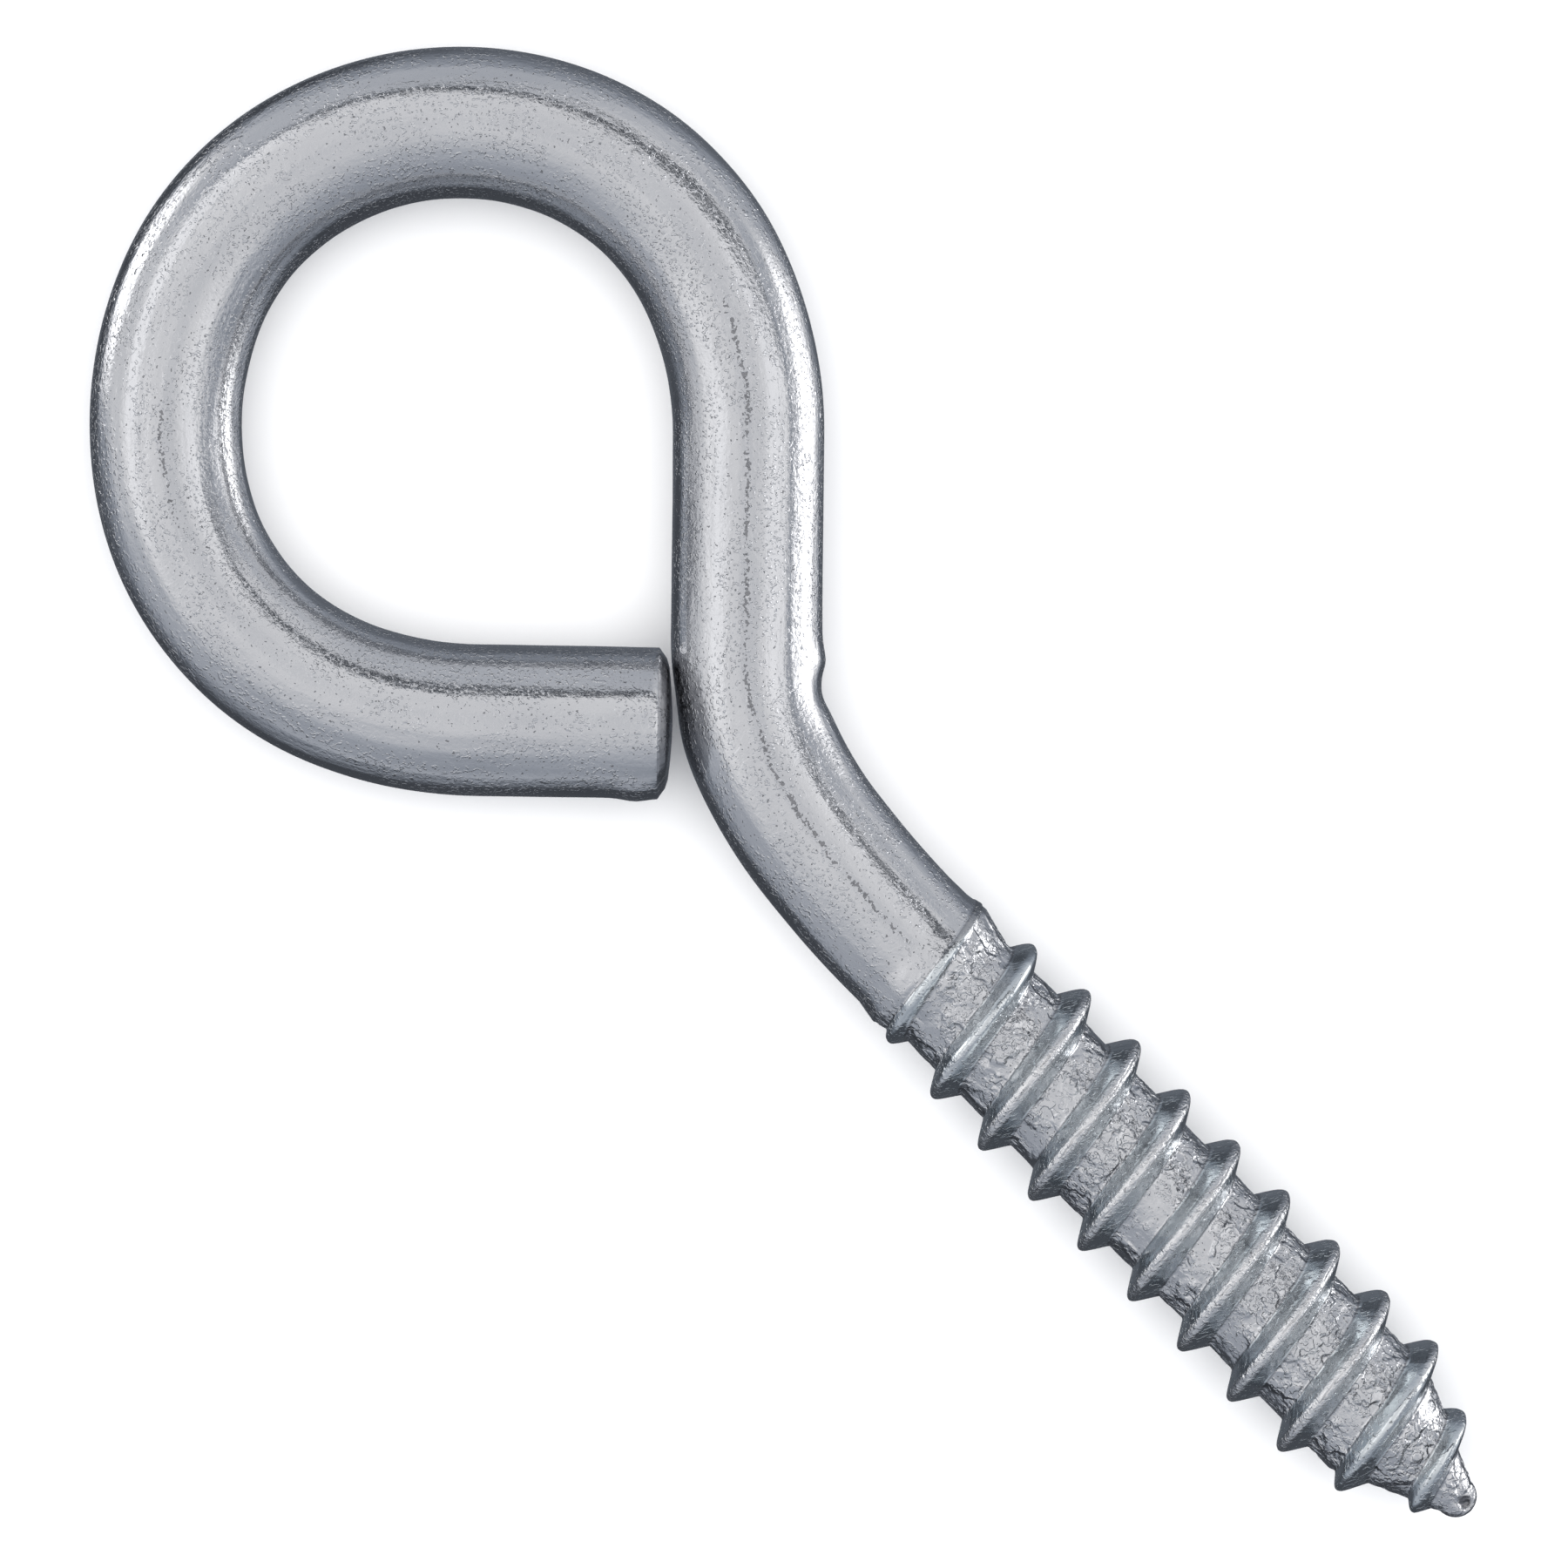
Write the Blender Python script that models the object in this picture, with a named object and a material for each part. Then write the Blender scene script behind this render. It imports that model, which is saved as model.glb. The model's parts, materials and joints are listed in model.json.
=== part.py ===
"""Screw eye: one length of steel wire, curled into an eye at one end and rolled into a wood-screw thread at the other.

It lies flat: +X runs along the shank from the eye to the point, +Z is the eye's axis, and the origin is the
middle of the underside of its box. Lengths are in millimetres until a point is made, and then in metres.
"""

import math

import bmesh
import bpy

MM = 0.001

# Driving dimensions.
WIRE_D = 7.8
THREAD_D = 9.7  # over the crests, which rolling raises above the wire
ROOT_D = 7.1
PITCH = 3.63  # seven threads to the inch, right-handed
THREAD_LENGTH = 39.0  # from the start of the thread, at x = 0 on the shank's axis, to the end of the point

# The wire's bends, from the start of the thread's run-out to the cut end: length along the wire, then the turn
# in degrees, positive anticlockwise seen from above. A turn of 0 is a straight.
RUN_OUT = 1.7
NECK = [(7.35, -6.9), (5.4, -14.1), (4.8, -24.2)]
LEG = [(11.4, 0.0)]
EYE = [(8.1, 24.7), (11.5, 47.4), (15.9, 59.1), (6.3, 26.4), (10.9, 36.2), (13.6, 55.2), (7.1, 20.6)]
CLOSING_STRAIGHT = [(9.55, 0.0)]

# The cut end: how far back from the face each ring lies, and its share of the wire's radius.
CUT_END = [(0.9, 1.0), (0.4, 0.97), (0.1, 0.88), (0.0, 0.78)]

# The thread's ridge in section: distance along the axis from the crest, and its share of the full height.
CREST_FLAT = 0.13
FLANK_FOOT = 0.95
RIDGE = [(-FLANK_FOOT, 0.0), (-CREST_FLAT, 1.0), (CREST_FLAT, 1.0), (FLANK_FOOT, 0.0), (PITCH / 2, 0.0)]
CREST_AT_SIDE = 2.6  # x of one crest where it crosses the +Y side

# Radius of the crests and of the core against x. Both start at the wire's own radius.
POINT_START = 32.3
POINT_BALL_R = 1.1
POINT_BALL_X = THREAD_LENGTH - POINT_BALL_R
WIRE_R = WIRE_D / 2
CREST_RADII = [
    (-RUN_OUT, WIRE_R),
    (-0.6, WIRE_R + 0.25),
    (1.0, WIRE_R + 0.5),
    (2.7, WIRE_R + 0.65),
    (5.5, THREAD_D / 2),
    (POINT_START - 0.6, THREAD_D / 2),
    (POINT_BALL_X - 0.9, 2.15),
    (POINT_BALL_X, POINT_BALL_R),
]
CORE_RADII = [
    (-RUN_OUT, WIRE_R),
    (0.0, WIRE_R),
    (1.6, ROOT_D / 2),
    (POINT_START, ROOT_D / 2),
    (POINT_BALL_X, POINT_BALL_R),
]

# How finely the solid is faceted.
SIDES = 24
DEGREES_PER_STATION = 6.0
SNAP = 0.12  # a thread vertex this near to an end of the thread moves onto it

ZINC = (0.60, 0.61, 0.64, 1.0)


def clear_scene():
    for obj in list(bpy.data.objects):
        bpy.data.objects.remove(obj)


def between(table, x):
    """The value at x of a table of (x, value) joined by straight lines."""
    for (x0, v0), (x1, v1) in zip(table, table[1:]):
        if x <= x1:
            return v0 + (v1 - v0) * max(0.0, x - x0) / (x1 - x0)
    return table[-1][1]


def wire_stations():
    """(x, y, heading) along the wire's centre line, from the thread's run-out to the cut end."""
    x, y, heading = -RUN_OUT, 0.0, math.pi
    stations = [(x, y, heading)]
    for length, degrees in NECK + LEG + EYE + CLOSING_STRAIGHT:
        steps = max(1, math.ceil(abs(degrees) / DEGREES_PER_STATION))
        turn = math.radians(degrees) / steps
        chord = length / steps * (math.sin(turn / 2) / (turn / 2) if turn else 1.0)
        for _ in range(steps):
            x += chord * math.cos(heading + turn / 2)
            y += chord * math.sin(heading + turn / 2)
            heading += turn
            stations.append((x, y, heading))
    return stations


def add_ring(bm, x, y, heading, radius):
    """A circle of vertices across the wire at a station. Vertex 0 is on its right-hand side."""
    across_x, across_y = math.sin(heading), -math.cos(heading)
    ring = []
    for side in range(SIDES):
        angle = math.tau * side / SIDES
        out = radius * math.cos(angle)
        point = (x + out * across_x, y + out * across_y, radius * math.sin(angle))
        ring.append(bm.verts.new([MM * value for value in point]))
    return ring


def join_rings(bm, ring, following):
    for side in range(SIDES):
        after = (side + 1) % SIDES
        bm.faces.new((ring[side], following[side], following[after], ring[after]))


def add_wire(bm):
    """The neck, the leg and the eye, closed at the cut end and open where the thread's surface takes over."""
    stations = wire_stations()
    end_x, end_y, end_heading = stations.pop()
    rings = [add_ring(bm, x, y, heading, WIRE_R) for x, y, heading in stations]
    for back, share in CUT_END:
        x = end_x - back * math.cos(end_heading)
        y = end_y - back * math.sin(end_heading)
        rings.append(add_ring(bm, x, y, end_heading, share * WIRE_R))
    for ring, following in zip(rings, rings[1:]):
        join_rings(bm, ring, following)
    bm.faces.new(rings[-1])


def thread_point(row, side):
    """A point of the thread's surface. Each row runs along the helix, and is one line of the ridge's section."""
    turn, line = divmod(row, len(RIDGE))
    from_crest, height = RIDGE[line]
    x = CREST_AT_SIDE + PITCH * (turn + side / SIDES) + from_crest
    if x < -RUN_OUT + SNAP:
        x = -RUN_OUT
    if x > POINT_BALL_X - SNAP:
        x = POINT_BALL_X
    core = between(CORE_RADII, x)
    radius = core + height * max(0.0, between(CREST_RADII, x) - core)
    angle = math.tau * side / SIDES
    return [MM * value for value in (x, radius * math.cos(angle), radius * math.sin(angle))]


def add_thread(bm):
    """The helical surface. A row that has gone once round carries on as the same line of the next turn's section."""
    lines = len(RIDGE)
    first = lines * math.floor((-RUN_OUT - CREST_AT_SIDE - PITCH) / PITCH)
    last = lines * math.ceil((POINT_BALL_X - CREST_AT_SIDE + PITCH) / PITCH)
    grid = {
        row: [bm.verts.new(thread_point(row, side)) for side in range(SIDES)]
        for row in range(first, last + lines + 1)
    }
    for row in range(first, last):
        for side in range(SIDES):
            if side + 1 < SIDES:
                ahead = (grid[row][side + 1], grid[row + 1][side + 1])
            else:
                ahead = (grid[row + lines][0], grid[row + lines + 1][0])
            bm.faces.new((grid[row][side], grid[row + 1][side], ahead[1], ahead[0]))


def add_point(bm):
    """The ball that ends the point."""
    rings = []
    for degrees in (0, 30, 60):
        angle = math.radians(degrees)
        x = POINT_BALL_X + POINT_BALL_R * math.sin(angle)
        rings.append(add_ring(bm, x, 0.0, math.pi, POINT_BALL_R * math.cos(angle)))
    for ring, following in zip(rings, rings[1:]):
        join_rings(bm, ring, following)
    tip = bm.verts.new((MM * THREAD_LENGTH, 0.0, 0.0))
    for side in range(SIDES):
        bm.faces.new((rings[-1][side], tip, rings[-1][(side + 1) % SIDES]))


def stand_on_origin(bm):
    """Moves the solid so that the origin is the middle of the underside of its box."""
    low = [min(v.co[axis] for v in bm.verts) for axis in range(3)]
    high = [max(v.co[axis] for v in bm.verts) for axis in range(3)]
    shift = (-(low[0] + high[0]) / 2, -(low[1] + high[1]) / 2, -low[2])
    bmesh.ops.translate(bm, verts=bm.verts, vec=shift)


def zinc_plated_steel():
    material = bpy.data.materials.new("zinc_plated_steel")
    material.use_nodes = True
    shader = material.node_tree.nodes["Principled BSDF"]
    shader.inputs["Base Color"].default_value = ZINC
    shader.inputs["Metallic"].default_value = 1.0
    shader.inputs["Roughness"].default_value = 0.32
    return material


def make_screw_eye():
    bm = bmesh.new()
    add_wire(bm)
    add_thread(bm)
    add_point(bm)
    bmesh.ops.remove_doubles(bm, verts=bm.verts, dist=1e-6)
    loose = [v for v in bm.verts if not v.link_faces]
    bmesh.ops.delete(bm, geom=loose, context="VERTS")
    bmesh.ops.recalc_face_normals(bm, faces=bm.faces)
    stand_on_origin(bm)
    mesh = bpy.data.meshes.new("screw_eye")
    bm.to_mesh(mesh)
    bm.free()
    mesh.shade_smooth()
    mesh.set_sharp_from_angle(angle=math.radians(40))
    mesh.materials.append(zinc_plated_steel())
    obj = bpy.data.objects.new("screw_eye", mesh)
    bpy.context.scene.collection.objects.link(obj)


clear_scene()
make_screw_eye()
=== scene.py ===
"""Looks for the screw eye: one zinc-plated wire, curled into an eye and rolled into a wood-screw thread.

The visible piece follows the CAD solid's bends and thread, with the marks that cropping, bending and rolling
leave in the metal. It differs from the CAD solid in its closing straight, which is 0.57 mm longer, and in a
rounder cut end and rounder crests. Lengths are in millimetres until a point is placed, then in metres.
"""

import json
import math

import bmesh
import bpy
import numpy as np
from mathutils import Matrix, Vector, noise


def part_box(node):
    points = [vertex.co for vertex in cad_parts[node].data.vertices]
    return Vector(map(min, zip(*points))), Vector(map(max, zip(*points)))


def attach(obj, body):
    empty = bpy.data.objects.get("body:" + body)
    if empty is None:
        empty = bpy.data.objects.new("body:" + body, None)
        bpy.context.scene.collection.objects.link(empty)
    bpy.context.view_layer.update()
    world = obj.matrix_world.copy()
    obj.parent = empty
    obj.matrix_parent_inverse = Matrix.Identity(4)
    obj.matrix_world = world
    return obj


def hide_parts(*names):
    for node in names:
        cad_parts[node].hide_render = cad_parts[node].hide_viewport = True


MM = 0.001

# ---- The wire and its bends: length along the wire, then the turn in degrees, anticlockwise from above.
WIRE_R = 3.9
RUN_OUT = 1.7
NECK = [(7.35, -6.9), (5.4, -14.1), (4.8, -24.2)]
LEG = [(11.4, 0.0)]
EYE = [(8.1, 24.7), (11.5, 47.4), (15.9, 59.1), (6.3, 26.4), (10.9, 36.2), (13.6, 55.2), (7.1, 20.6)]
CLOSING_STRAIGHT = [(10.12, 0.0)]
NECK_LENGTH = sum(length for length, _ in NECK)
WIRE_LENGTH = sum(length for length, _ in NECK + LEG + EYE + CLOSING_STRAIGHT)
BEND_EASE = 2.2  # a bend starts and stops over about this length

# ---- The cut end: how far back from the face, and the share of the wire's radius.
CUT_END = [(0.74, 1.0), (0.7, 0.99), (0.62, 0.96), (0.34, 0.86), (0.2, 0.74), (0.12, 0.56), (0.06, 0.36)]
CUT_END += [(0.02, 0.18)]

# ---- The thread.
PITCH = 3.63
CREST_R = 4.87
ROOT_R = 3.55
THREAD_LENGTH = 39.0
CREST_AT_SIDE = 2.6
CREST_HALF_WIDTH = 0.2
FLANK_SLOPE = 1.7  # rise of the ridge's flank for each millimetre along the shank
EDGE_ROUNDING = 0.24
POINT_START = 32.3
POINT_BALL_R = 1.1
POINT_BALL_X = THREAD_LENGTH - POINT_BALL_R
DIMPLE_AT = (38.36, 0.13)
DIMPLE_R = 0.4
DIMPLE_DEPTH = 0.3
CREST_RADII = [
    (-RUN_OUT, WIRE_R),
    (-0.9, WIRE_R + 0.2),
    (1.0, WIRE_R + 0.5),
    (2.7, WIRE_R + 0.65),
    (5.5, CREST_R),
    (POINT_START - 0.6, CREST_R),
    (POINT_START + 3.3, 3.2),
    (POINT_BALL_X - 0.9, 2.15),
    (POINT_BALL_X, POINT_BALL_R),
]
CORE_RADII = [
    (-RUN_OUT, WIRE_R),
    (-0.85, WIRE_R + 0.13),
    (-0.45, WIRE_R + 0.17),
    (1.43, ROOT_R + 0.01),
    (POINT_START, ROOT_R),
    (POINT_BALL_X, POINT_BALL_R),
]

# ---- How finely the piece is faceted.
SIDES = 112
STATION_STEP = 0.35
LINES_PER_TURN = 42
SNAP = 0.06

# ---- The floor touches the thread's first full crest and the far side of the eye.
FIRST_FULL_CREST_X = 5.5
FLOOR_SIZE = 6.0
FLOOR_LIGHT_WATTS = 42.0

# ---- The camera looks straight down. PICTURE_TURN is how far the picture is turned from the frame.
PICTURE_TURN = math.radians(45.3)
PICTURE_CENTRE = (-12.34, 1.21)
PICTURE_WIDTH = 80.53
CAMERA_DISTANCE = 420.0
SENSOR = 36.0


# ---------------------------------------------------------------- shape helpers


def between(table, x):
    """The values at x of a table of (x, value) joined by straight lines."""
    return np.interp(x, [row[0] for row in table], [row[1] for row in table])


def bump_at(value, centre, half_width):
    """A smooth bump, 1 at the centre and nearly 0 past twice the half width."""
    return np.exp(-(((value - centre) / half_width) ** 2))


def smooth_step(value, start, end):
    t = np.clip((value - start) / (end - start), 0.0, 1.0)
    return t * t * (3 - 2 * t)


def noise_at(points, size, seed):
    """Perlin noise from -1 to 1 at each point, with features about size millimetres across."""
    shift = Vector((17.3 * seed, 5.1 * seed, 9.7 * seed))
    return np.array([noise.noise(Vector(point) / size + shift) for point in points])


def eased_curvature(step):
    """Curvature along the wire, with each change of bend spread over BEND_EASE."""
    curvature = []
    for length, degrees in NECK + LEG + EYE + CLOSING_STRAIGHT:
        count = round(length / step)
        curvature += [math.radians(degrees) / length] * count
    window = np.hanning(round(BEND_EASE / step))
    padding = len(window)
    padded = np.pad(curvature, padding, mode="edge")
    return np.convolve(padded, window / window.sum(), mode="same")[padding:-padding]


def wire_stations():
    """Arrays of distance along the wire, x, y and heading, from the thread's run-out to the cut end."""
    fine = 0.05
    curvature = eased_curvature(fine)
    heading = math.pi + np.concatenate([[0.0], np.cumsum(curvature) * fine])
    middle = (heading[:-1] + heading[1:]) / 2
    x = -RUN_OUT + np.concatenate([[0.0], np.cumsum(np.cos(middle)) * fine])
    y = np.concatenate([[0.0], np.cumsum(np.sin(middle)) * fine])
    along = np.arange(len(heading)) * fine
    body_end = along[-1] - CUT_END[0][0]
    wanted = np.linspace(0.0, body_end, round(body_end / STATION_STEP) + 1)
    wanted = np.concatenate([wanted, [along[-1] - back for back, _ in CUT_END[1:]]])
    shares = np.concatenate([np.ones(len(wanted) - len(CUT_END) + 1), [share for _, share in CUT_END[1:]]])
    columns = [np.interp(wanted, along, values) for values in (x, y, heading)]
    return wanted, *columns, shares, (x[-1], y[-1])


# ---------------------------------------------------------------- marks in the metal


def wire_marks(along, side, drawn):
    """How far the wire's surface stands off its true circle. side is 0 on the right and grows upwards."""
    right = np.cos(side)
    low = noise_at(drawn * (0.35, 1.0, 1.0), 6.0, 1) * 0.05
    lumps = noise_at(drawn * (0.6, 1.0, 1.0), 1.7, 2) * 0.018
    burr = 0.2 * bump_at(along, NECK_LENGTH - 0.1, 0.9) * bump_at(right, 1.0, 0.13)
    notch = -0.17 * bump_at(along, NECK_LENGTH - 2.7, 1.3) * bump_at(right, 1.0, 0.13)
    pressed = -0.15 * bump_at(along, NECK_LENGTH - 1.5, 1.4) * bump_at(right, -1.0, 0.25)
    crop_burr = 0.16 * bump_at(along, WIRE_LENGTH - 1.9, 0.8) * bump_at(right, 1.0, 0.2)
    fade = smooth_step(along, 0.0, 1.5)
    return (low + lumps + burr + notch + pressed + crop_burr) * fade


def thread_marks(x, ridge, drawn):
    """How far the thread's surface stands off its true profile: wrinkled roots and uneven crests."""
    root = np.clip(1.0 - ridge * 6.0, 0.0, 1.0)
    crest = smooth_step(ridge, 0.8, 0.95)
    fade_in = smooth_step(x, -RUN_OUT, -RUN_OUT + 1.5)
    fade = fade_in * (1.0 - smooth_step(x, POINT_BALL_X - 0.3, POINT_BALL_X))
    plateaus = smooth_step(noise_at(drawn * (1.0, 0.8, 0.8), 0.62, 3), -0.1, 0.12)
    patches = smooth_step(noise_at(drawn, 2.1, 4), -0.3, 0.1)
    wrinkles = 0.04 * root * patches * plateaus
    ragged = 0.045 * crest * noise_at(drawn, 0.7, 5)
    lumps = 0.02 * noise_at(drawn, 1.6, 6)
    return (wrinkles + ragged + lumps) * fade


def dimple(points):
    """Sinks the small pit on top of the point's ball, in the thread's last turn and the ball alike."""
    away = np.hypot(points[:, 0] - DIMPLE_AT[0], points[:, 1] - DIMPLE_AT[1])
    sunk = DIMPLE_DEPTH * np.exp(-((away / DIMPLE_R) ** 4)) * (points[:, 2] > 0.0)
    return points - sunk[:, None] * (0.0, 0.0, 1.0)


# ---------------------------------------------------------------- the piece


class Skin:
    """The growing surface: vertices in millimetres, with what the material needs to know about each one.

    drawn is its place on the straight wire, ridge is how high up the thread's ridge it lies, from 0 to 1,
    and across is its distance along the shank from the middle of the crest.
    """

    def __init__(self):
        self.points = []
        self.drawn = []
        self.ridge = []
        self.across = []
        self.faces = []

    def add(self, points, drawn, ridge=None, across=None):
        first = sum(len(block) for block in self.points)
        self.points.append(points)
        self.drawn.append(drawn)
        self.ridge.append(np.zeros(len(points)) if ridge is None else ridge)
        self.across.append(np.full(len(points), PITCH / 2) if across is None else across)
        return first


def ring_angles():
    return np.arange(SIDES) * math.tau / SIDES


def add_wire(skin):
    along, x, y, heading, shares, end = wire_stations()
    side = np.tile(ring_angles(), len(along))
    s, cx, cy, turn, share = (np.repeat(values, SIDES) for values in (along, x, y, heading, shares))
    drawn = np.stack([-s, WIRE_R * np.cos(side), WIRE_R * np.sin(side)], axis=1)
    radius = share * (WIRE_R + wire_marks(s, side, drawn))
    out = radius * np.cos(side)
    points = np.stack([cx + out * np.sin(turn), cy - out * np.cos(turn), radius * np.sin(side)], axis=1)
    first = skin.add(points, drawn)
    for ring in range(len(along) - 1):
        base = first + ring * SIDES
        add_band(skin, base, base + SIDES)
    close_with_point(skin, first + (len(along) - 1) * SIDES, (*end, 0.0), (-along[-1], 0.0, 0.0))


def add_band(skin, ring, following):
    for side in range(SIDES):
        after = (side + 1) % SIDES
        skin.faces.append((ring + side, following + side, following + after, ring + after))


def close_with_point(skin, ring, point, drawn):
    tip = skin.add(np.array([point]), np.array([drawn]))
    for side in range(SIDES):
        after = (side + 1) % SIDES
        skin.faces.append((ring + side, tip, ring + after))


def soft_clip(value, low, high, rounding):
    """The value kept between low and high, with its two corners rounded."""
    value = low + 0.5 * (value - low + np.sqrt((value - low) ** 2 + (0.2 * rounding) ** 2))
    return high - 0.5 * (high - value + np.sqrt((high - value) ** 2 + rounding**2))


def ridge_rise(from_crest, full):
    """How far the ridge stands off the core, where its crest stands full off it. The flanks keep one slope."""
    climb = full - (np.abs(from_crest) - CREST_HALF_WIDTH) * FLANK_SLOPE
    rise = soft_clip(climb, 0.0, full, EDGE_ROUNDING * smooth_step(full, 0.0, 0.5))
    return np.clip(rise, 0.0, full)


def add_thread(skin):
    lines = LINES_PER_TURN
    first = lines * math.floor((-RUN_OUT - CREST_AT_SIDE - PITCH) / PITCH)
    last = lines * math.ceil((POINT_BALL_X - CREST_AT_SIDE + PITCH) / PITCH)
    rows = np.repeat(np.arange(first, last + lines + 1), SIDES)
    column = np.tile(np.arange(SIDES), last + lines + 1 - first)
    angle = column * math.tau / SIDES
    from_crest = (rows % lines) / lines * PITCH
    from_crest = np.where(from_crest > PITCH / 2, from_crest - PITCH, from_crest)
    x = CREST_AT_SIDE + PITCH * (rows / lines + column / SIDES)
    x = np.where(x < -RUN_OUT + SNAP, -RUN_OUT, x)
    x = np.where(x > POINT_BALL_X - SNAP, POINT_BALL_X, x)
    core = between(CORE_RADII, x)
    full = np.maximum(0.0, between(CREST_RADII, x) - core)
    rise = ridge_rise(from_crest, full)
    ridge = rise / (CREST_R - ROOT_R)
    drawn = np.stack([x + RUN_OUT, core * np.cos(angle), core * np.sin(angle)], axis=1)
    radius = core + rise + thread_marks(x, rise / np.maximum(full, 0.2), drawn)
    points = np.stack([x, radius * np.cos(angle), radius * np.sin(angle)], axis=1)
    base = skin.add(dimple(points), drawn, ridge, from_crest)
    for row in range(last - first):
        here, above = base + row * SIDES, base + (row + 1) * SIDES
        for side in range(SIDES - 1):
            skin.faces.append((here + side, above + side, above + side + 1, here + side + 1))
        turn_on = lines * SIDES
        skin.faces.append((here + SIDES - 1, above + SIDES - 1, above + turn_on, here + turn_on))


def add_point(skin):
    rings = 10
    degrees = np.linspace(0.0, 90.0, rings, endpoint=False)
    theta = np.repeat(np.radians(degrees), SIDES)
    side = np.tile(ring_angles(), rings)
    x = POINT_BALL_X + POINT_BALL_R * np.sin(theta)
    radius = POINT_BALL_R * np.cos(theta)
    points = np.stack([x, radius * np.cos(side), radius * np.sin(side)], axis=1)
    first = skin.add(dimple(points), points + (RUN_OUT, 0.0, 0.0))
    for ring in range(rings - 1):
        add_band(skin, first + ring * SIDES, first + (ring + 1) * SIDES)
    tip = (THREAD_LENGTH, 0.0, 0.0)
    close_with_point(skin, first + (rings - 1) * SIDES, tip, (THREAD_LENGTH + RUN_OUT, 0.0, 0.0))


def make_screw_eye(thread_start):
    """The whole piece as one closed mesh. thread_start is the CAD's mount on the shank's axis."""
    skin = Skin()
    add_wire(skin)
    add_thread(skin)
    add_point(skin)
    points = np.concatenate(skin.points) * MM + np.array(thread_start)
    mesh = bpy.data.meshes.new("zinc_screw_eye")
    mesh.from_pydata(points.tolist(), [], skin.faces)
    drawn = mesh.attributes.new("drawn", "FLOAT_VECTOR", "POINT")
    drawn.data.foreach_set("vector", np.concatenate(skin.drawn).astype(np.float32).ravel())
    for name, values in (("ridge", skin.ridge), ("across", skin.across)):
        layer = mesh.attributes.new(name, "FLOAT", "POINT")
        layer.data.foreach_set("value", np.concatenate(values).astype(np.float32))
    bm = bmesh.new()
    bm.from_mesh(mesh)
    bmesh.ops.remove_doubles(bm, verts=bm.verts, dist=1e-7)
    bmesh.ops.dissolve_degenerate(bm, dist=1e-8, edges=bm.edges)
    bmesh.ops.delete(bm, geom=[v for v in bm.verts if not v.link_faces], context="VERTS")
    bmesh.ops.recalc_face_normals(bm, faces=bm.faces)
    bm.to_mesh(mesh)
    bm.free()
    mesh.shade_smooth()
    piece = bpy.data.objects.new("zinc_screw_eye", mesh)
    bpy.context.scene.collection.objects.link(piece)
    return piece


# ---------------------------------------------------------------- materials


class Graph:
    """Adds nodes to a node tree. An input is a socket to link or a value to set."""

    def __init__(self, tree):
        self.tree = tree

    def node(self, kind, inputs=(), **settings):
        made = self.tree.nodes.new(kind)
        for name, value in settings.items():
            setattr(made, name, value)
        for key, value in dict(inputs).items():
            if isinstance(value, bpy.types.NodeSocket):
                self.tree.links.new(value, made.inputs[key])
            else:
                made.inputs[key].default_value = value
        return made

    def math(self, operation, *values):
        made = self.node("ShaderNodeMath", enumerate(values), operation=operation)
        return made.outputs[0]

    def dot(self, vector, other):
        made = self.node("ShaderNodeVectorMath", {0: vector, 1: other}, operation="DOT_PRODUCT")
        return made.outputs["Value"]

    def scaled(self, vector, factors):
        made = self.node("ShaderNodeVectorMath", {0: vector, 1: factors}, operation="MULTIPLY")
        return made.outputs["Vector"]

    def ramp(self, value, start, end, low=0.0, high=1.0):
        inputs = {"Value": value, "From Min": start, "From Max": end, "To Min": low, "To Max": high}
        made = self.node("ShaderNodeMapRange", inputs, interpolation_type="SMOOTHSTEP")
        return made.outputs[0]

    def noise(self, vector, scale, detail=2.0, roughness=0.5):
        inputs = {"Vector": vector, "Scale": scale, "Detail": detail, "Roughness": roughness}
        return self.node("ShaderNodeTexNoise", inputs).outputs[0]

    def mix(self, factor, first, second):
        made = self.node("ShaderNodeMix", data_type="RGBA")
        for name, kind, value in (("Factor", "VALUE", factor), ("A", "RGBA", first), ("B", "RGBA", second)):
            socket = next(s for s in made.inputs if s.name == name and s.type == kind)
            if isinstance(value, bpy.types.NodeSocket):
                self.tree.links.new(value, socket)
            else:
                socket.default_value = value
        return next(s for s in made.outputs if s.type == "RGBA")

    def attribute(self, name):
        return self.node("ShaderNodeAttribute", attribute_name=name)


ZINC_LIGHT = (0.625, 0.63, 0.645, 1.0)
ZINC_DARK = (0.47, 0.48, 0.505, 1.0)
# MARK_AND_SHADE_DARK darkens the crest fold and the cut end's face, and paints shade in the root creases, the
# specks and the point's pit.
MARK_AND_SHADE_DARK = (0.10, 0.10, 0.11, 1.0)
# FLANK_PAINTED_REFLECTION paints the thread's flanks lighter and bluer, a painted reflection of the tent.
FLANK_PAINTED_REFLECTION = (0.72, 0.77, 0.79, 1.0)
CREST_TINT = (0.78, 0.78, 0.785, 1.0)

# Places in drawn coordinates: where the cut end's face begins, and the middle of the pit on the point.
FACE_EDGE = -(WIRE_LENGTH - 0.66)
PIT_CENTRE = (DIMPLE_AT[0] + RUN_OUT, DIMPLE_AT[1])

# The rough line that the drawing die left along the top of the wire, with a painted dark reflection of the
# strip overhead laid on it, and the stretches that show it.
DIE_LINE_AND_REFLECTION_STRETCHES = [(-37.0, 0.6), (-84.0, -75.5)]
DIE_LINE_AND_REFLECTION_HALF_WIDTH = 0.26


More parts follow.
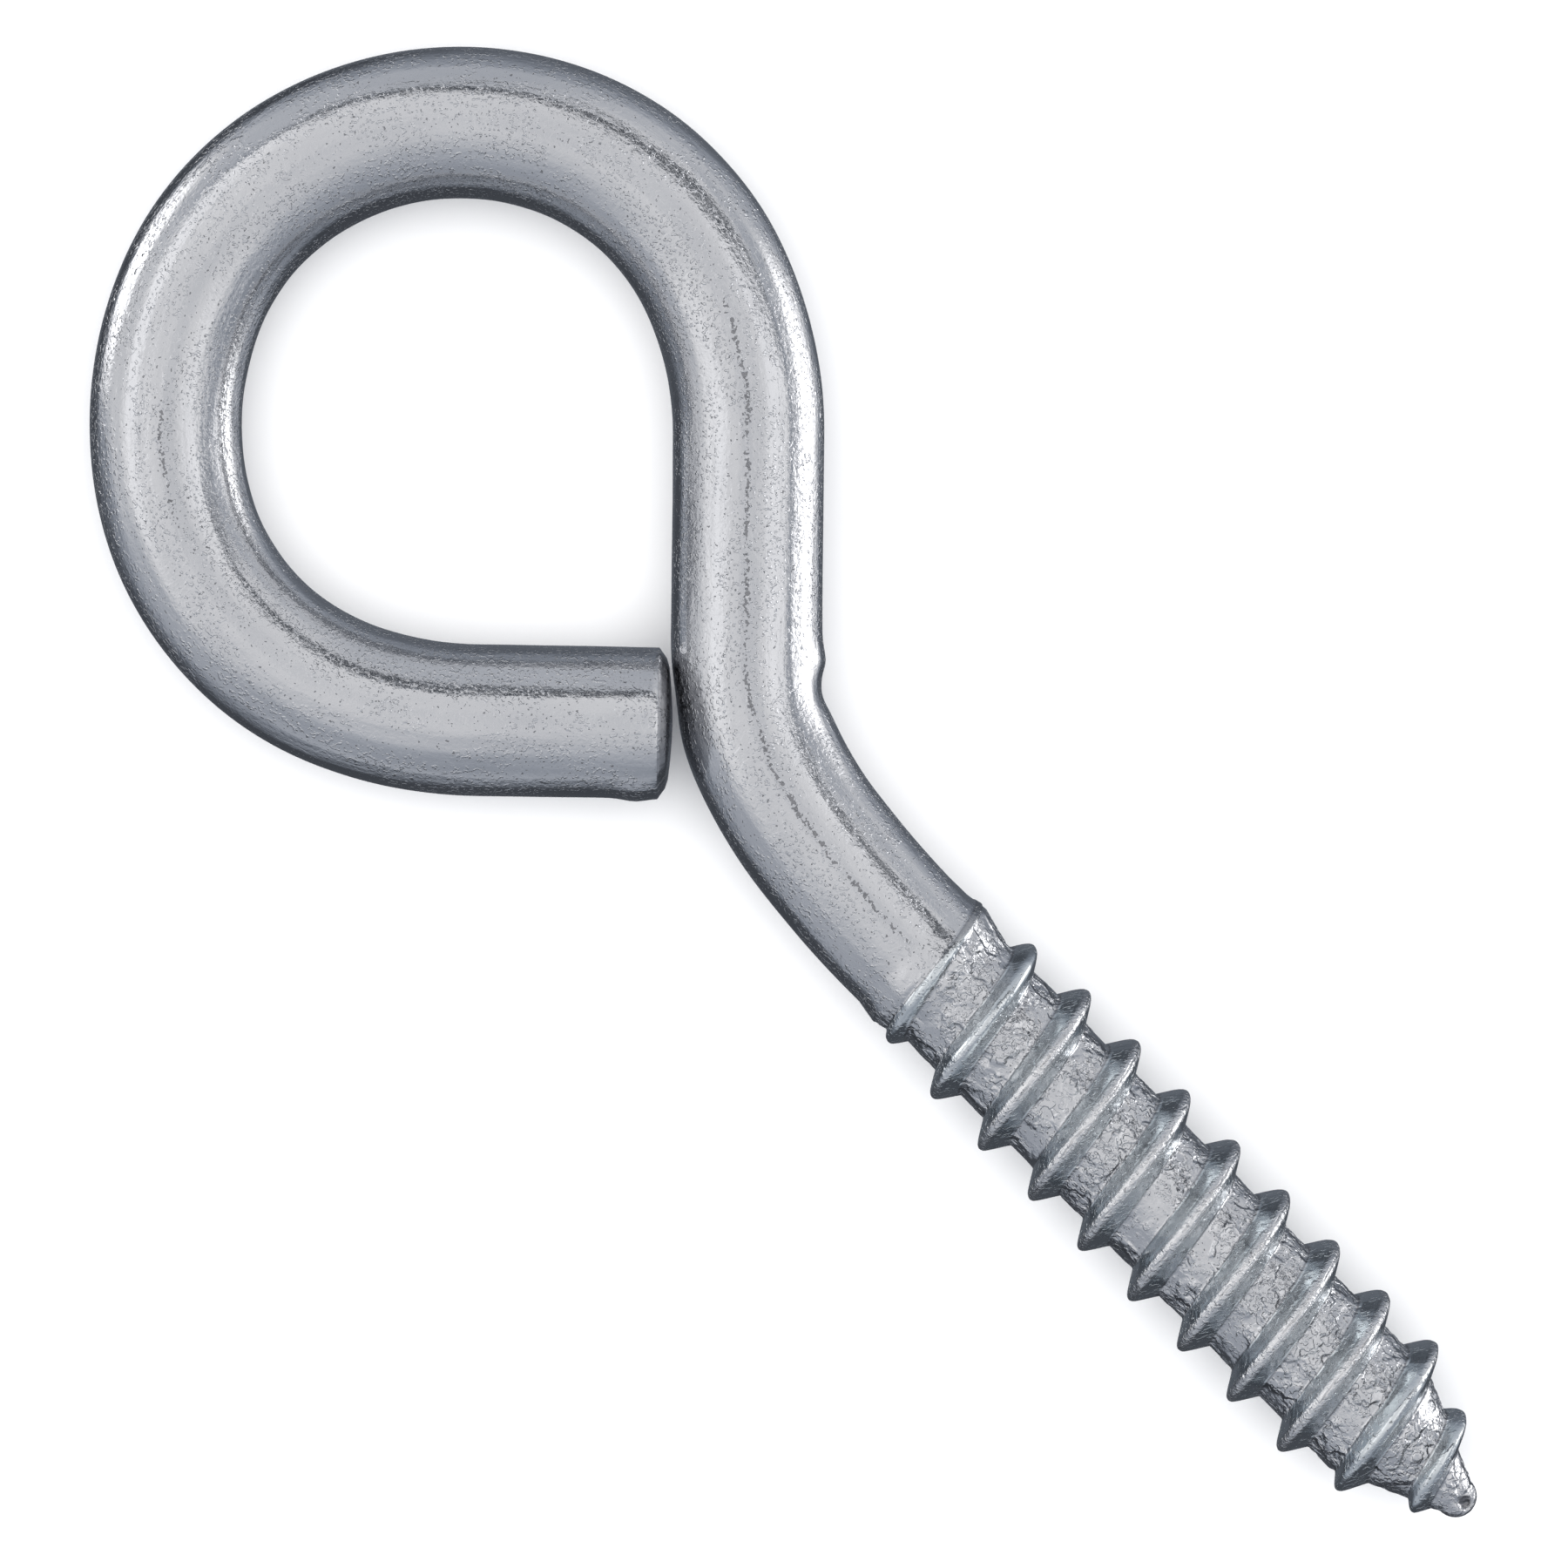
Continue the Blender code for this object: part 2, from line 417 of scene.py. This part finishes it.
def die_line_and_dark_reflection(graph, drawn):
    """1 on the rough line along the top of the wire, fading out beside it: a die line that also paints the
    dark reflection of the strip overhead.
    """
    along, sideways, up = graph.node("ShaderNodeSeparateXYZ", {0: drawn}).outputs
    wander = graph.noise(graph.scaled(drawn, (0.4, 0.0, 0.0)), 1.0, 2.0)
    sideways = graph.math("MULTIPLY_ADD", graph.math("SUBTRACT", wander, 0.5), 0.6, sideways)
    narrow = graph.ramp(graph.math("ABSOLUTE", sideways), DIE_LINE_AND_REFLECTION_HALF_WIDTH, 0.0)
    on_top = graph.math("MULTIPLY", narrow, graph.math("GREATER_THAN", up, 0.0))
    shown = 0.0
    for start, end in DIE_LINE_AND_REFLECTION_STRETCHES:
        fade_in, fade_out = graph.ramp(along, start, start + 2.5), graph.ramp(along, end, end - 2.5)
        shown = graph.math("MAXIMUM", graph.math("MULTIPLY", fade_in, fade_out), shown)
    patchy = graph.ramp(graph.noise(graph.scaled(drawn, (0.3, 0.0, 0.0)), 1.0, 2.0), 0.35, 0.55, 0.45, 1.0)
    return graph.math("MULTIPLY", graph.math("MULTIPLY", on_top, shown), patchy)


def darker_cut_face_and_pit_shade(graph, drawn):
    """1 in the pit on the point, which it paints with shade, and 0.45 on the cut end's face, which it darkens.
    """
    along, _, up = graph.node("ShaderNodeSeparateXYZ", {0: drawn}).outputs
    face = graph.ramp(along, FACE_EDGE - 0.12, FACE_EDGE + 0.02, 1.0, 0.0)
    centre = (*PIT_CENTRE, 0.0)
    offset = graph.node("ShaderNodeVectorMath", {0: drawn, 1: centre}, operation="SUBTRACT").outputs[0]
    away = graph.node("ShaderNodeVectorMath", {0: graph.scaled(offset, (1.0, 1.0, 0.0))}, operation="LENGTH")
    pit = graph.ramp(away.outputs["Value"], DIMPLE_R * 1.1, DIMPLE_R * 0.6)
    pit = graph.math("MULTIPLY", pit, graph.math("GREATER_THAN", up, 0.0))
    return graph.math("MAXIMUM", graph.math("MULTIPLY", face, 0.45), pit)


def crest_fold(graph, drawn, crest):
    """1 on the broken, wandering line where the rolled metal met along the crest."""
    across = graph.attribute("across").outputs["Fac"]
    wander = graph.math("SUBTRACT", graph.noise(drawn, 0.8, 2.0), 0.5)
    across = graph.math("MULTIPLY_ADD", wander, 0.5, across)
    fold = graph.math("MULTIPLY", graph.ramp(graph.math("ABSOLUTE", across), 0.08, 0.02), crest)
    return graph.math("MULTIPLY", fold, graph.ramp(graph.noise(drawn, 0.9, 1.0), 0.45, 0.6))


def root_crinkles(graph, drawn, ridge):
    """1 where the rolls crinkled the thread's roots, patch by patch."""
    along = graph.node("ShaderNodeSeparateXYZ", {0: drawn}).outputs[0]
    root = graph.math("MULTIPLY", graph.ramp(along, 0.8, 2.6), graph.ramp(ridge, 0.2, 0.0))
    elsewhere = graph.node("ShaderNodeVectorMath", {0: drawn, 1: (9.0, 4.0, 2.0)}).outputs[0]
    patches = graph.ramp(graph.noise(elsewhere, 0.45, 1.0), 0.36, 0.54)
    return graph.math("MULTIPLY", graph.math("MAXIMUM", patches, 0.1), root)


def zinc_plating():
    """Bright zinc over drawn steel: fine grain, specks, drawing lines, and wrinkles in the thread's roots. The
    colour paints shade in the root creases, the specks and the point's pit, a dark reflection along the die
    line and a lighter reflection on the flanks.
    """
    material = bpy.data.materials.new("zinc_plating")
    material.use_nodes = True
    graph = Graph(material.node_tree)
    shader = material.node_tree.nodes["Principled BSDF"]
    drawn = graph.attribute("drawn").outputs["Vector"]
    ridge = graph.attribute("ridge").outputs["Fac"]
    crest = graph.ramp(ridge, 0.72, 0.92)
    # line: the die line, which also carries the painted dark reflection along the wire's top
    line = die_line_and_dark_reflection(graph, drawn)
    fold = crest_fold(graph, drawn, crest)
    crinkled = root_crinkles(graph, drawn, ridge)
    cut_face_and_pit_shade = darker_cut_face_and_pit_shade(graph, drawn)
    # dark: small pits, bumped down, with painted shade in their colour
    dark = graph.math("MULTIPLY_ADD", line, 0.24, graph.noise(drawn, 6.5, 1.0))
    dark = graph.ramp(dark, 0.69, 0.75)

    grain = graph.noise(drawn, 4.6, 3.0, 0.6)
    rough_patch = graph.ramp(graph.noise(graph.scaled(drawn, (0.4, 1.0, 1.0)), 0.7, 2.0), 0.41, 0.53)
    rough_patch = graph.math("MAXIMUM", rough_patch, graph.math("MAXIMUM", line, crest))
    specks = graph.math("MULTIPLY", graph.ramp(graph.noise(drawn, 5.0, 1.0), 0.56, 0.66), rough_patch)
    streaks = graph.noise(graph.scaled(drawn, (0.06, 1.0, 1.0)), 4.0, 3.0)
    bands = graph.noise(graph.scaled(drawn, (0.04, 1.0, 1.0)), 0.75, 1.0)
    worms = graph.ramp(graph.noise(drawn, 1.3, 2.0), 0.47, 0.52)
    plateaus = graph.ramp(graph.noise(drawn, 0.95, 1.5, 0.5), 0.43, 0.55)
    curls = graph.ramp(graph.noise(drawn, 2.3, 2.0, 0.5), 0.45, 0.56)

    height = 0.0
    for layer, millimetres in (
        (grain, 0.016),
        (specks, 0.03),
        (dark, -0.03),
        (streaks, 0.01),
        (bands, 0.11),
        (worms, 0.004),
        (graph.math("MULTIPLY", plateaus, crinkled), 0.13),
        (graph.math("MULTIPLY", curls, crinkled), 0.055),
        (graph.math("MULTIPLY", grain, crest), 0.07),
        (fold, -0.025),
    ):
        height = graph.math("MULTIPLY_ADD", layer, millimetres, height)
    bump = graph.node("ShaderNodeBump", {"Height": height, "Distance": MM, "Strength": 1.0})

    clouds = graph.ramp(graph.noise(graph.scaled(drawn, (0.3, 1.0, 1.0)), 0.6, 3.0), 0.35, 0.65)
    flank = graph.math("MULTIPLY", graph.ramp(ridge, 0.02, 0.15), graph.ramp(ridge, 0.98, 0.8))
    # painted shade: darker in the crease where each flank meets the root
    root_crease_shade = graph.math("MULTIPLY", graph.ramp(ridge, 0.01, 0.04), graph.ramp(ridge, 0.13, 0.06))
    colour = ZINC_LIGHT
    for mask, share, tint in (
        (clouds, 0.22, ZINC_DARK),
        # painted reflection: lighter, bluer flanks
        (flank, 0.7, FLANK_PAINTED_REFLECTION),
        (crest, 0.8, CREST_TINT),
        # painted shade in the root creases
        (root_crease_shade, 0.45, MARK_AND_SHADE_DARK),
        (fold, 0.3, MARK_AND_SHADE_DARK),
        # painted shade: the specks' dark colour, thicker along the die line as its painted dark reflection
        (dark, 0.65, MARK_AND_SHADE_DARK),
        # painted shade in the point's pit, and the darker cut end's face
        (cut_face_and_pit_shade, 0.75, MARK_AND_SHADE_DARK),
    ):
        colour = graph.mix(graph.math("MULTIPLY", mask, share), colour, tint)

    roughness = graph.ramp(graph.noise(drawn, 1.1, 3.0), 0.3, 0.7, 0.10, 0.18)
    roughness = graph.math("MULTIPLY_ADD", crest, 0.08, roughness)
    roughness = graph.math("MULTIPLY_ADD", graph.math("MAXIMUM", dark, cut_face_and_pit_shade), 0.2, roughness)
    material.node_tree.links.new(colour, shader.inputs["Base Color"])
    material.node_tree.links.new(roughness, shader.inputs["Roughness"])
    material.node_tree.links.new(bump.outputs[0], shader.inputs["Normal"])
    shader.inputs["Metallic"].default_value = 1.0
    return material


def floor_paint():
    material = bpy.data.materials.new("floor_paint")
    material.use_nodes = True
    shader = material.node_tree.nodes["Principled BSDF"]
    shader.inputs["Base Color"].default_value = (0.97, 0.97, 0.97, 1.0)
    shader.inputs["Roughness"].default_value = 0.9
    shader.inputs["Specular IOR Level"].default_value = 0.1
    return material


# ---------------------------------------------------------------- studio

# Soft panels around the part. Azimuth is in the picture, anticlockwise from its right-hand side, and polar is
# the angle from straight up, both in degrees. Then the half sizes in degrees, and the brightness each adds.
PANELS = [
    (165, 50, 38, 14, 0.36),
    (5, 44, 38, 12, 0.26),
    (72, 47, 42, 5.5, -2.4),
    (8, 101, 17, 14, 2.3),
    (5, 99, 18, 23, 1.05),
    (155, 106, 16, 11, 1.7),
    (153, 100, 17, 18, 0.55),
    (95, 66, 45, 14, -0.25),
    (270, 55, 60, 30, -0.15),
    (180, 82, 16, 16, 0.17),
    (0, 122, 40, 16, 0.45),
    (45, 85, 25, 20, 0.2),
    (90, 20, 30, 15, -0.10),
    (0, 4, 12, 12, -0.15),
    (230, 102, 35, 18, 0.22),
    (278, 101, 35, 12, 0.22),
    (10, 74, 45, 9, -0.42),
    (135, 104, 22, 16, 0.2),
    (140, 135, 30, 15, -0.2),
]


def direction(azimuth, polar):
    turned = math.radians(azimuth) + PICTURE_TURN
    flat = math.sin(math.radians(polar))
    return Vector((flat * math.cos(turned), flat * math.sin(turned), math.cos(math.radians(polar))))


def panel_light(graph, ray, azimuth, polar, half_width, half_height, level):
    """A flat-topped soft patch of light around one direction."""
    centre = direction(azimuth, polar)
    down = direction(azimuth, polar + 90)
    sideways = centre.cross(down)
    across = graph.math("DIVIDE", graph.dot(ray, sideways), math.sin(math.radians(half_width)))
    along = graph.math("DIVIDE", graph.dot(ray, down), math.sin(math.radians(half_height)))
    spread = graph.math("ADD", graph.math("POWER", across, 2.0), graph.math("POWER", along, 2.0))
    fade = graph.math("EXPONENT", graph.math("MULTIPLY", graph.math("POWER", spread, 1.5), -1.0))
    facing = graph.math("GREATER_THAN", graph.dot(ray, centre), 0.0)
    return graph.math("MULTIPLY", graph.math("MULTIPLY", fade, facing), level)


def studio_light():
    """A soft light tent: bright overhead, dim low down and towards the picture's lower edge."""
    world = bpy.data.worlds.new("studio")
    bpy.context.scene.world = world
    world.use_nodes = True
    graph = Graph(world.node_tree)
    ray = graph.node("ShaderNodeTexCoord").outputs["Generated"]
    ray = graph.node("ShaderNodeVectorMath", {0: ray}, operation="NORMALIZE").outputs["Vector"]
    up = graph.dot(ray, (0.0, 0.0, 1.0))
    picture_up = graph.dot(ray, direction(90, 90))
    light = graph.ramp(up, -0.9, 0.85, 0.16, 1.0)
    lean = graph.ramp(picture_up, -1.0, 0.35, -0.22, 0.0)
    light = graph.math("ADD", light, lean)
    for panel in PANELS:
        light = graph.math("ADD", light, panel_light(graph, ray, *panel))
    light = graph.math("MAXIMUM", light, 0.08)
    tint = graph.mix(graph.ramp(light, 0.15, 1.0), (0.87, 0.96, 1.12, 1.0), (1.0, 1.0, 1.015, 1.0))
    background = world.node_tree.nodes["Background"]
    world.node_tree.links.new(tint, background.inputs["Color"])
    world.node_tree.links.new(light, background.inputs["Strength"])


def floor_light():
    """A broad lamp overhead that only the matt floor answers to: the metal reflects the tent alone."""
    data = bpy.data.lights.new("floor_light", "AREA")
    data.shape = "DISK"
    data.size = 3.0
    data.energy = FLOOR_LIGHT_WATTS
    lamp = bpy.data.objects.new("floor_light", data)
    lamp.location = (0.0, 0.0, 2.0)
    lamp.visible_glossy = False
    bpy.context.scene.collection.objects.link(lamp)


def make_floor(thread_start, box):
    """A plain pale floor that touches the thread's first full crest and the far side of the eye."""
    crest_x = thread_start[0] + FIRST_FULL_CREST_X * MM
    eye_x = box[0][0] + WIRE_R * MM
    eye_z = thread_start[2] - WIRE_R * MM
    tilt = math.atan2(eye_z, crest_x - eye_x)
    mesh = bpy.data.meshes.new("floor")
    half = FLOOR_SIZE / 2
    corners = [(-half, -half, 0), (half, -half, 0), (half, half, 0), (-half, half, 0)]
    mesh.from_pydata(corners, [], [(0, 1, 2, 3)])
    mesh.materials.append(floor_paint())
    floor = bpy.data.objects.new("floor", mesh)
    floor.location = (crest_x, 0.0, 0.0)
    floor.rotation_euler = (0.0, tilt, 0.0)
    floor.visible_glossy = False
    bpy.context.scene.collection.objects.link(floor)


def make_camera(thread_start):
    data = bpy.data.cameras.new("camera")
    data.sensor_width = SENSOR
    data.lens = SENSOR * CAMERA_DISTANCE / PICTURE_WIDTH
    data.clip_start = 0.01
    data.clip_end = 20.0
    camera = bpy.data.objects.new("camera", data)
    x = thread_start[0] + PICTURE_CENTRE[0] * MM
    y = thread_start[1] + PICTURE_CENTRE[1] * MM
    camera.location = (x, y, thread_start[2] + CAMERA_DISTANCE * MM)
    camera.rotation_euler = (0.0, 0.0, PICTURE_TURN)
    bpy.context.scene.collection.objects.link(camera)
    bpy.context.scene.camera = camera


# ---------------------------------------------------------------- the scene

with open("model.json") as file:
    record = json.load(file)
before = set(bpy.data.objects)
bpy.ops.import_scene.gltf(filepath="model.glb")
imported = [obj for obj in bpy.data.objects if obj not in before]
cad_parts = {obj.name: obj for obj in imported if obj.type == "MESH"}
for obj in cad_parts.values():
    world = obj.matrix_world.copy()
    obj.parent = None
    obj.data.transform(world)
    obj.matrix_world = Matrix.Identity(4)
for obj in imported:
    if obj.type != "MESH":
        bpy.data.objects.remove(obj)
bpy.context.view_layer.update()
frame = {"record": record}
bpy.context.scene.view_settings.view_transform = "Standard"

start = frame["record"]["mounts"][0]["pos_m"]
screw_eye = make_screw_eye(start)
screw_eye.data.materials.append(zinc_plating())
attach(screw_eye, "root")
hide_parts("screw_eye")

make_floor(start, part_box("screw_eye"))
studio_light()
floor_light()
make_camera(start)
